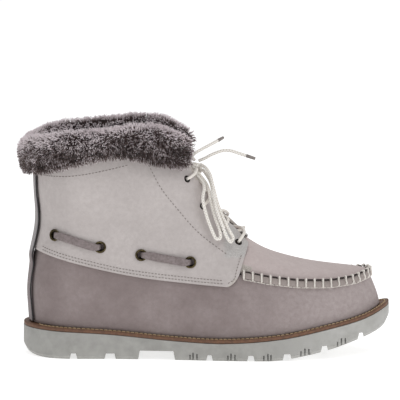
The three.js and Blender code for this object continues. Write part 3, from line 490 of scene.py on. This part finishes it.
def settle(piece):
    """Applies a piece's modifiers."""
    graph = bpy.context.evaluated_depsgraph_get()
    mesh = bpy.data.meshes.new_from_object(piece.evaluated_get(graph))
    old = piece.data
    piece.modifiers.clear()
    piece.data = mesh
    bpy.data.meshes.remove(old)
    mesh.name = piece.name


def surface(piece):
    bpy.context.view_layer.update()
    return BVHTree.FromObject(piece, bpy.context.evaluated_depsgraph_get())


def cutter_object(bm):
    mesh = bpy.data.meshes.new("cutter")
    bm.to_mesh(mesh)
    bm.free()
    cutter = bpy.data.objects.new("cutter", mesh)
    scene.collection.objects.link(cutter)
    return cutter


def cut_away(piece, bm):
    cutter = cutter_object(bm)
    cut = piece.modifiers.new("cut", "BOOLEAN")
    cut.operation, cut.solver, cut.object = "DIFFERENCE", "EXACT", cutter
    settle(piece)
    bpy.data.objects.remove(cutter)


def eyelet_axis(node):
    """Middle and axis of a ring: the axis is the direction in which it is thinnest."""
    points = np.array([v.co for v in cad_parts[node].data.vertices], float)
    middle = (points.min(0) + points.max(0)) / 2
    values, vectors = np.linalg.eigh(np.cov((points - points.mean(0)).T))
    ring_axis = Vector(vectors[:, np.argmax(np.abs(values - np.median(values)))])
    low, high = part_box(node)
    outward = Vector((0, 1 if middle[1] > 0 else -1, 0.2))
    if ring_axis.dot(outward) < 0:
        ring_axis = -ring_axis
    return Vector(middle), ring_axis.normalized()


# %% [markdown]
# ## The quarters
# The two light grey quarters wrap the heel from the lacing back. Each gets its raw edge as a second material,
# and round holes for four thong eyelets and four lace eyelets.

# %% Quarters with their holes
DECK_HOLE, LACE_HOLE = 3.9, 2.9
quarters = {}
for side in ("lateral", "medial"):
    rings = [(f"deck_eyelet_{side}_{k}", DECK_HOLE) for k in range(1, 5)]
    rings += [(f"lace_eyelet_{side}_{k}", LACE_HOLE) for k in range(1, 5)]
    axes = [(*eyelet_axis(node), radius) for node, radius in rings]
    closed = [(middle, (radius + 1.2) * MM) for middle, axis, radius in axes]
    quarter = panel(f"quarter_panel_{side}", f"quarter_{side}", [grey_nubuck, raw_edge],
                    closed_holes=closed, edge=True)
    settle(quarter)
    bm = bmesh.new()
    for middle, axis, radius in axes:
        turn = axis.to_track_quat("Z", "Y").to_matrix().to_4x4()
        bmesh.ops.create_cone(bm, cap_ends=True, segments=24, radius1=radius * MM, radius2=radius * MM,
                              depth=9 * MM, matrix=Matrix.Translation(middle) @ turn)
    cut_away(quarter, bm)
    quarters[side] = quarter
    print(quarter.name, len(quarter.data.polygons), "faces")

# %% [markdown]
# ## Vamp, plug, seam band and backstay
# The vamp is one taupe strip round the foot. The plug is the lid over the toes, and the vamp's gathered edge
# stands up round it as a thick band. A moccasin is sewn by hand: each whip stitch pulls the band in, so the band
# is pressed in at every stitch, further on.

# %% Upper panels
vamp = panel("vamp_panel", "vamp", [taupe_nubuck, dark_edge], edge=True)
plug = panel("moc_plug_panel", "moc_plug", [plug_nubuck, raw_edge], edge=True)
band = panel("moc_band", "moc_seam_band", band_nubuck, levels=3, crease=0.4,
             keep_modifiers=False)
backstay = panel("backstay_strip", "backstay", strip_nubuck)
tongue = panel("tongue_panel", "tongue", [plug_nubuck, raw_edge], body="tongue", edge=True)
counter = panel("heel_counter_sheet", "heel_counter", lining_board, levels=1)
puff = panel("toe_puff_sheet", "toe_puff", lining_board, levels=1)
thong = panel("side_thong", "deck_lace", thong_leather, levels=2, crease=0.5)
shaft_fleece = panel("shaft_fleece", "shaft_lining", short_fleece)
vamp_fleece = panel("vamp_fleece", "vamp_lining", short_fleece)
footbed = panel("fleece_footbed", "footbed", short_fleece, crease=0.6)

# %% [markdown]
# ## Outsole
# The outsole keeps the frame's shape, with its mould edges eased by a small bevel. Three short sipes, thin knife
# slits that let the rubber flex, are cut into the side of each tread block, on both sides of the sole.

# %% Outsole and welt
SIPES = [(-9.5, -7.2, -4.2), (19.4, 21.7, 24.7), (46.7, 49.8, 52.1), (75, 78, 81), (103, 106, 109)]
SIPE_HEIGHT, SIPE_WIDTH, SIPE_DEPTH = 6.2, 1.05, 3.2
bm = panel_bmesh("outsole", join=False)
bmesh.ops.dissolve_limit(bm, angle_limit=math.radians(0.5), verts=bm.verts, edges=bm.edges)
mesh = bpy.data.meshes.new("outsole_rubber")
bm.to_mesh(mesh)
bm.free()
outsole = add_piece("outsole_rubber", mesh, sole_rubber, stands_for="outsole")
ease = outsole.modifiers.new("ease", "BEVEL")
ease.width, ease.segments, ease.limit_method, ease.angle_limit = 0.5 * MM, 2, "ANGLE", math.radians(35)
settle(outsole)
sole_surface = surface(outsole)
bm = bmesh.new()
for group in SIPES:
    for share, x in zip((0.75, 1.0, 0.85), group):
        for way in (-1, 1):
            start = Vector((x * MM, way * 90 * MM, 0))
            bottom = sole_surface.ray_cast(Vector((x * MM, way * 25 * MM, -0.01)), Vector((0, 0, 1)))[0]
            hit = sole_surface.ray_cast(start + Vector((0, 0, bottom.z + 4 * MM)), Vector((0, -way, 0)))[0]
            height = (SIPE_HEIGHT * share + 2) * MM
            place = Matrix.Translation(Vector((x * MM, hit.y, bottom.z - 2 * MM + height / 2)))
            size = Matrix.Diagonal((SIPE_WIDTH * MM, 2 * SIPE_DEPTH * MM, height, 1))
            bmesh.ops.create_cube(bm, size=1, matrix=place @ size)
cut_away(outsole, bm)
outsole.data.shade_smooth()
outsole.data.set_sharp_from_angle(angle=math.radians(32))
weigh = outsole.modifiers.new("weigh", "WEIGHTED_NORMAL")
weigh.keep_sharp = True
welt = panel("welt_strip", "welt", welt_leather, crease=0.8)
for node, material in (("insole_board", lining_board), ("shank", shank_steel)):
    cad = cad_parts[node]
    cad.data.materials.clear()
    cad.data.materials.append(material)
print("outsole", len(outsole.data.polygons), "faces")

# %% [markdown]
# ## Eyelets
# An eyelet is a turned ring with a rolled flange. The frame's ring has few sides, so a subdivision surface makes
# it round.

# %% Eyelets
for side in ("lateral", "medial"):
    for k in range(1, 5):
        panel(f"thong_ring_{side}_{k}", f"deck_eyelet_{side}_{k}", old_brass, crease=0.2)
        panel(f"lace_ring_{side}_{k}", f"lace_eyelet_{side}_{k}", black_brass, crease=0.2)

# %% [markdown]
# ## Lacing and knot
# The criss-cross lacing follows the frame. The knot of the bow is a short length wound over and under itself; a
# trefoil curve, squeezed into the frame's knot, gives three turns that cross as a tied lace does.

# %% Lacing and knot
lacing = panel("lacing_cord", "lacing", plain_cotton, levels=1, crease=0.0)
low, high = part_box("lace_knot")
knot_middle, knot_half = (low + high) / 2, (high - low) / 2 - Vector((1, 1, 1)) * 1.25 * MM
turns = 72
trefoil = []
for k in range(turns):
    t = 2 * math.pi * k / turns
    shape = (math.sin(3 * t), (math.sin(t) + 2 * math.sin(2 * t)) / 2.6, (math.cos(t) - 2 * math.cos(2 * t)) / 3)
    trefoil.append(knot_middle + Vector([a * b for a, b in zip(shape, knot_half)]))
mesh = tube_mesh("bow_knot", [trefoil], LACE_RADIUS * MM, rounding=3, cyclic=True)
for loop in mesh.uv_layers[0].data:
    loop.uv = (loop.uv[0] * run_length(trefoil) / MM, loop.uv[1])
knot = add_piece("bow_knot", mesh, braid_cotton, stands_for="lace_knot")

# %% [markdown]
# ## Stitches
# A stitch is a short thread that comes out of one hole and goes down the next. It is a tube of four points whose
# two ends lie under the surface and whose middle stands up by a thread's thickness. `walk` steps evenly along a
# line, and `on_side` drops a line drawn in the side view onto a panel.

# %% Stitch helpers
def walk(line, pitch):
    """Points every `pitch` along a line."""
    points, left = [line[0]], pitch
    for a, b in zip(line, line[1:]):
        span = (b - a).length
        while left <= span:
            points.append(a.lerp(b, left / span))
            left += pitch
        left -= span
    return points


def on_side(tree, x, z, way):
    hit = tree.ray_cast(Vector((x * MM, way * 0.12, z * MM)), Vector((0, -way, 0)))
    return hit[0], hit[1]


def side_line(tree, corners, way, step=1.0):
    """A smooth line through (x, z) corners in the side view, laid on a panel's outer face."""
    flat = smooth_line([Vector((x, 0, z)) for x, z in corners], step)
    hits = [on_side(tree, p.x, p.z, way)[0] for p in flat]
    return [h for h in hits if h is not None]


def stitches(tree, line, pitch, share=0.62, stand=0.32, sink=0.35):
    made = []
    for a, b in zip(walk(line, pitch * MM), walk(line, pitch * MM)[1:]):
        b = a.lerp(b, share)
        strand = []
        for t, lift in ((0, -sink), (0.22, stand), (0.78, stand), (1, -sink)):
            near = tree.find_nearest(a.lerp(b, t))
            strand.append(near[0] + near[1] * lift * MM)
        made.append(strand)
    return made


# %% [markdown]
# ## Seams of the quarters
# Two rows run along the hem where the quarter is sewn over the vamp; one row holds the collar, and one slants down
# from the collar to the front corner to hold the eyestay that backs the lace holes. A last row closes the front
# edge. The thread matches the leather and shows as small dark dashes.

# %% Quarter seams
HEM = [(-122, 80.3), (-120, 79.6), (-87, 70.9), (-58, 64.6), (-3, 58.3), (17, 56.8)]
collar_seam = [(-126, 139.7), (-96.5, 141.4), (-72.3, 145.8), (-54.8, 150.1)]
stay_seam = [(-41, 149.6), (-31.6, 132), (-19, 115.7), (-2.7, 97.3), (20, 80)]
front_seam = [(19.5, 59.5), (24.2, 62.5), (25.6, 68), (27.6, 75), (29.8, 81)]
dash = []
for side, way in (("lateral", -1), ("medial", 1)):
    skin = surface(quarters[side])
    for rise in (2.2, 4.6):
        dash += stitches(skin, side_line(skin, [(x, z + rise) for x, z in HEM], way), 2.5, 0.6, 0.14)
    dash += stitches(skin, side_line(skin, collar_seam, way), 2.6, 0.6, 0.14)
    dash += stitches(skin, side_line(skin, stay_seam, way), 2.9, 0.5, 0.14)
    dash += stitches(skin, side_line(skin, front_seam, way), 2.4, 0.6, 0.14)
seams = add_piece("quarter_seams", tube_mesh("quarter_seams", dash, 0.3 * MM), grey_thread)
print("quarter stitches:", len(dash))

# %% [markdown]
# ## Round the boot
# The welt and the moccasin seam both go round the foot. `around` makes plan stations: straight out on the two
# sides, and fanned round a centre at the toe and at the heel.

# %% Stations round the foot
def around(x_back, x_front, toe_fan=True, heel_fan=True, step=2.5):
    """(centre, direction) pairs in plan, along the outer side, round the toe, and back along the inner side."""
    stations = []
    xs = np.arange(x_back, x_front, step)
    stations += [(Vector((x, 0, 0)) * MM, Vector((0, -1, 0))) for x in xs]
    if toe_fan:
        for k in range(1, 36):
            a = -math.pi / 2 + math.pi * k / 36
            stations.append((Vector((x_front, 0, 0)) * MM, Vector((math.cos(a), math.sin(a), 0))))
    stations += [(Vector((x, 0, 0)) * MM, Vector((0, 1, 0))) for x in xs[::-1]]
    if heel_fan:
        for k in range(1, 36):
            a = math.pi / 2 + math.pi * k / 36
            stations.append((Vector((x_back, 0, 0)) * MM, Vector((math.cos(a), math.sin(a), 0))))
    return stations


def rim_line(tree, stations, inset):
    """A line on a flat rim's top, `inset` mm in from its outer edge, found by dropping rays."""
    line = []
    for centre, way in stations:
        inside, outside = 20 * MM, 75 * MM
        for _ in range(14):
            middle = (inside + outside) / 2
            spot = centre + way * middle + Vector((0, 0, 0.3))
            if tree.ray_cast(spot, Vector((0, 0, -1)))[0] is None:
                outside = middle
            else:
                inside = middle
        spot = centre + way * (inside - inset * MM) + Vector((0, 0, 0.3))
        hit = tree.ray_cast(spot, Vector((0, 0, -1)))[0]
        if hit is not None:
            line.append(hit)
    return line


welt_skin = surface(welt)
welt_line = rim_line(welt_skin, around(-92, 92), 2.9)
welt_line.append(welt_line[0])
welt_rows = stitches(welt_skin, welt_line, 3.4, 0.72, 0.3)
add_piece("welt_stitching", tube_mesh("welt_stitching", welt_rows, 0.45 * MM), tan_thread)
print("welt stitches:", len(welt_rows))

# %% [markdown]
# ## The hand-sewn moccasin seam
# A thick waxed thread is whipped over the band every 6.9 mm: it comes out of the plug, climbs over the band's top
# edge and goes in under its foot. A thinner thread runs along the foot from stitch to stitch. Every stitch pulls
# the band in, which is what makes its row of little cushions.

# %% Whip stitches
WHIP_PITCH = 6.9
seam_height = [(0, 68.5), (28, 68.3), (50, 64), (73, 61), (98, 59.8), (117, 61.2), (127, 63.6)]


def seam_z(x_mm):
    for (x0, z0), (x1, z1) in zip(seam_height, seam_height[1:]):
        if x_mm <= x1:
            return z0 + (z1 - z0) * (x_mm - x0) / (x1 - x0)
    return seam_height[-1][1]


def seam_point(tree, centre, way, below):
    """A point on the band's face, `below` mm under the seam, looking in from outside along a station."""
    x = centre.x / MM + max(0.0, way.x) * 33
    for _ in range(3):
        start = centre + way * 0.09 + Vector((0, 0, (seam_z(x) - below) * MM))
        hit = tree.ray_cast(start, -way)
        if hit[0] is None:
            return None
        x = hit[0].x / MM
    return hit[0], hit[1]


band_skin, vamp_skin, plug_skin = surface(band), surface(vamp), surface(plug)
band_face = [seam_point(band_skin, c, w, 3.4) for c, w in around(31.5, 96, heel_fan=False, step=1.5)]
band_line = [p[0] for p in band_face if p]
whip_points = walk(band_line, WHIP_PITCH * MM)
press = 0.75 * MM
for v in band.data.vertices:
    near = min((v.co.xy - p.xy).length for p in whip_points)
    inward = Vector((v.co.x - 92 * MM if v.co.x > 92 * MM else 0, v.co.y, 0)).normalized()
    v.co -= inward * press * math.exp(-(near / (1.5 * MM)) ** 2)
band_skin = surface(band)
whips, under = [], []
for p in whip_points:
    out = Vector((p.x - 92 * MM if p.x > 92 * MM else 0, p.y, 0)).normalized()
    top = seam_z(p.x / MM) * MM
    strand = []
    for inset, z, lift in ((-3.6, top + 0.2 * MM, -0.3), (-2.4, top + 0.9 * MM, 0.5), (-0.9, top + 0.9 * MM, 0.6)):
        spot = p + out * inset * MM
        hit = plug_skin.ray_cast(Vector((spot.x, spot.y, 0.12)), Vector((0, 0, -1)))
        level = hit[0].z if hit[0] is not None and hit[0].z < top + 4 * MM else z
        strand.append(Vector((spot.x, spot.y, max(z, level + lift * MM))))
    for below, lift in ((0.6, 0.75), (2.2, 0.6), (4.0, 0.55), (5.4, -0.4)):
        start = Vector((p.x, p.y, top - below * MM)) + out * 0.03
        hit = band_skin.ray_cast(start, -out)
        if hit[0] is None or (hit[0] - start).length > 0.036:
            hit = vamp_skin.ray_cast(start, -out)
        if hit[0] is not None:
            strand.append(hit[0] + out * lift * MM)
    whips.append(smooth_line(strand, 0.7 * MM))
foot_line = []
for centre, way in around(31.5, 96, heel_fan=False, step=1.5):
    hit = seam_point(vamp_skin, centre, way, 5.5)
    if hit:
        foot_line.append(hit[0] + way * 0.25 * MM)
add_piece("whip_stitches", tube_mesh("whip_stitches", whips, 0.72 * MM), pale_thread)
foot_rows = stitches(vamp_skin, foot_line, WHIP_PITCH / 2, 0.8, 0.3)
add_piece("seam_running_thread", tube_mesh("seam_running_thread", foot_rows, 0.48 * MM), pale_thread)
# Dark tubes in the slots between the whip stitches, along the band's top edge: a painted shadow where the band
# stands off the plug.
slots = []
for a, b in zip(whip_points, whip_points[1:]):
    strand = []
    for t in (0.2, 0.5, 0.8):
        spot = a.lerp(b, t)
        out = Vector((spot.x - 92 * MM if spot.x > 92 * MM else 0, spot.y, 0)).normalized()
        strand.append(Vector((spot.x, spot.y, (seam_z(spot.x / MM) + 0.55) * MM)) - out * 1.9 * MM)
    slots.append(strand)
add_piece("seam_slot_shadows", tube_mesh("seam_slot_shadows", slots, 0.75 * MM), painted_slot_shadow)
print("whip stitches:", len(whips))

# %% [markdown]
# ## Piping on the backstay
# The strip up the heel is edged with thin black piping, rolled leather caught in the seam. It follows the strip's
# two front edges from the welt to the collar.

# %% Piping
points = [v.co.copy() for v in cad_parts["backstay"].data.vertices]
pipes = []
for way in (-1, 1):
    rows = {}
    for p in points:
        key = round(p.z / (0.5 * MM))
        if key not in rows or (round(p.y * way, 5), -p.x) > (round(rows[key].y * way, 5), -rows[key].x):
            rows[key] = p
    line = [rows[key] + Vector((0.9, way * 0.5, 0)) * MM for key in sorted(rows)]
    pipes.append(smooth_line(line, 1.5 * MM))
add_piece("backstay_piping", tube_mesh("backstay_piping", pipes, 0.5 * MM, rounding=2), piping_black)

# %% [markdown]
# ## The fleece collar
# The turned-out lining is a soft roll. Its body is the frame's roll made 3.5 mm smaller, with a lumpy surface, and
# the pile grows from it: thin tapered tubes, each bent a little downhill and drawn towards the middle of its tuft.
# Their tips come out at the frame's surface. Draws are seeded, so the pile is the same each run.

# %% Fleece roll
ROLL_IN, FRONT_RISE, SEAT_NEAR, SEAT_FAR = 5.8, 3.8, 1.5, 4.5
collar = panel("collar_roll", "fur_collar", ground_fleece, levels=2, crease=0.0,
               keep_modifiers=False)
seats = [surface(piece) for piece in (*quarters.values(), shaft_fleece)]


def freedom(point):
    """0 where the collar lies on the leather, so that no gap opens there, and 1 away from it."""
    near = min(seat.find_nearest(point)[3] for seat in seats) / MM
    return min(1, max(0, (near - SEAT_NEAR) / (SEAT_FAR - SEAT_NEAR)))


normals = [v.normal.copy() for v in collar.data.vertices]
for v, normal in zip(collar.data.vertices, normals):
    lump = noise.noise(v.co * grain_of(14)) * 1.2 + noise.noise(v.co * grain_of(5)) * 0.6
    rise = FRONT_RISE * max(0, normal.z) * min(1, max(0, (v.co.x / MM + 75) / 45))
    v.co += normal * (lump - ROLL_IN + rise) * freedom(v.co) * MM

# %% Pile
HAIRS, HAIR_LENGTH, HAIR_RADIUS, TUFT = 24000, 6.6, 0.27, 4.2
draw = random.Random(7)
collar.data.calc_loop_triangles()
triangles = [[collar.data.vertices[i] for i in t.vertices] for t in collar.data.loop_triangles]
areas = np.cumsum([t.area for t in collar.data.loop_triangles])
hairs = {"outer": [], "inner": [], "heel_outer": [], "heel_inner": []}
# Tip paleness is partly the fleece's own frost and partly painted light: the roll's top and its faces turned inward
# get paler tips.
frost_and_painted_light = {place: [] for place in hairs}      # how pale each hair's tip is; the top of the roll is palest
for _ in range(HAIRS):
    a, b, c = triangles[int(np.searchsorted(areas, draw.random() * areas[-1]))]
    u, w = draw.random(), draw.random()
    if u + w > 1:
        u, w = 1 - u, 1 - w
    root = a.co + (b.co - a.co) * u + (c.co - a.co) * w
    normal = (a.normal + (b.normal - a.normal) * u + (c.normal - a.normal) * w).normalized()
    tuft = noise.voronoi(root / (TUFT * MM))[1][0] * TUFT * MM
    free = freedom(root + normal * 3 * MM)              # under 1 where the hair points at the leather
    length = HAIR_LENGTH * MM * draw.uniform(0.7, 1.05) * (0.4 + 0.6 * free)
    flow = Vector((0, 0, -0.25)) + noise.noise_vector(root * grain_of(18)) * 0.55
    loose = Vector((draw.gauss(0, 1), draw.gauss(0, 1), draw.gauss(0, 1))) * 0.22
    lean = (normal + flow + loose).normalized()
    tip = root + lean * length * 0.86
    tip = tip.lerp(tuft + normal * length * 0.8, 0.32 * draw.random())
    middle = root + normal * length * 0.5 + (tip - root - normal * length * 0.5) * 0.25
    strand = [root - normal * 0.4 * MM, root.lerp(middle, 0.9), middle.lerp(tip, 0.6), tip]
    place = ("heel_" if root.x < -91 * MM else "") + ("outer" if root.y < 0 else "inner")
    hairs[place].append(strand)
    inwards = Vector((-0.075 - root.x, -root.y, 0)).normalized()
    # The terms for the roll's top (normal.z) and for faces turned inward are painted light; the rest varies the
    # fleece's own frost.
    frost_and_painted_light[place].append(0.5 + 0.3 * (1 - free) + 1.15 * max(0, normal.z + 0.1) + 0.6 * max(0, normal.dot(inwards))
                        + noise.noise(root * grain_of(9)) * 0.35 + draw.uniform(-0.2, 0.4))
RING = 4                                            # vertices round a hair
for place, strands in hairs.items():
    mesh = tube_mesh("collar_pile_" + place, strands, HAIR_RADIUS * MM, rounding=0, tapers=[1.0, 0.85, 0.6, 0.18])
    reach = np.array(frost_and_painted_light[place]) * 1.35
    caps = np.outer(reach[::-1], np.repeat((1, 0), RING))               # end caps come first, the last hair leading
    sides = np.outer(reach, np.repeat((0, 1 / 3, 2 / 3, 1), RING))
    tips = mesh.attributes.new("along", "FLOAT", "POINT")
    tips.data.foreach_set("value", np.concatenate((caps.ravel(), sides.ravel())).astype(np.float32))
    add_piece("collar_pile_" + place, mesh, hair_fleece)
    print("pile", place, len(strands), "hairs,", len(mesh.polygons), "faces")

# %% [markdown]
# ## Floor and light
# The floor is a plain pale sheet, so large that its far edge meets the white surroundings. One big soft light
# stands high at the front left, a weaker one at the right, and one behind lifts the collar's far side.

# %% Stage
bm = bmesh.new()
bmesh.ops.create_grid(bm, x_segments=1, y_segments=1, size=30)
floor_mesh = bpy.data.meshes.new("floor")
bm.to_mesh(floor_mesh)
bm.free()
floor = bpy.data.objects.new("floor", floor_mesh)
scene.collection.objects.link(floor)
floor_material, tree, shader, where = start_material(
    "pale_paper", Roughness=0.9, Specular_IOR_Level=0.1, Base_Color=(0.8, 0.8, 0.8, 1),
    Emission_Color=(1, 1, 1, 1), Emission_Strength=0.62)
floor_mesh.materials.append(floor_material)

world = bpy.data.worlds.new("studio")
world.use_nodes = True
world.node_tree.nodes["Background"].inputs[0].default_value = (1, 1, 1, 1)
world.node_tree.nodes["Background"].inputs[1].default_value = 0.5
scene.world = world


def soft_light(name, spot, size, watts):
    data = bpy.data.lights.new(name, "AREA")
    data.size, data.energy = size, watts
    light = bpy.data.objects.new(name, data)
    light.location = spot
    light.rotation_euler = (Vector((0, 0, 0.07)) - Vector(spot)).to_track_quat("-Z", "Y").to_euler()
    scene.collection.objects.link(light)


soft_light("key", (0.3, -0.75, 1.5), 1.0, 6.5)
soft_light("fill", (1.3, -1.0, 0.6), 1.0, 2.5)
soft_light("rim", (-0.2, 1.2, 1.2), 1.0, 3.5)
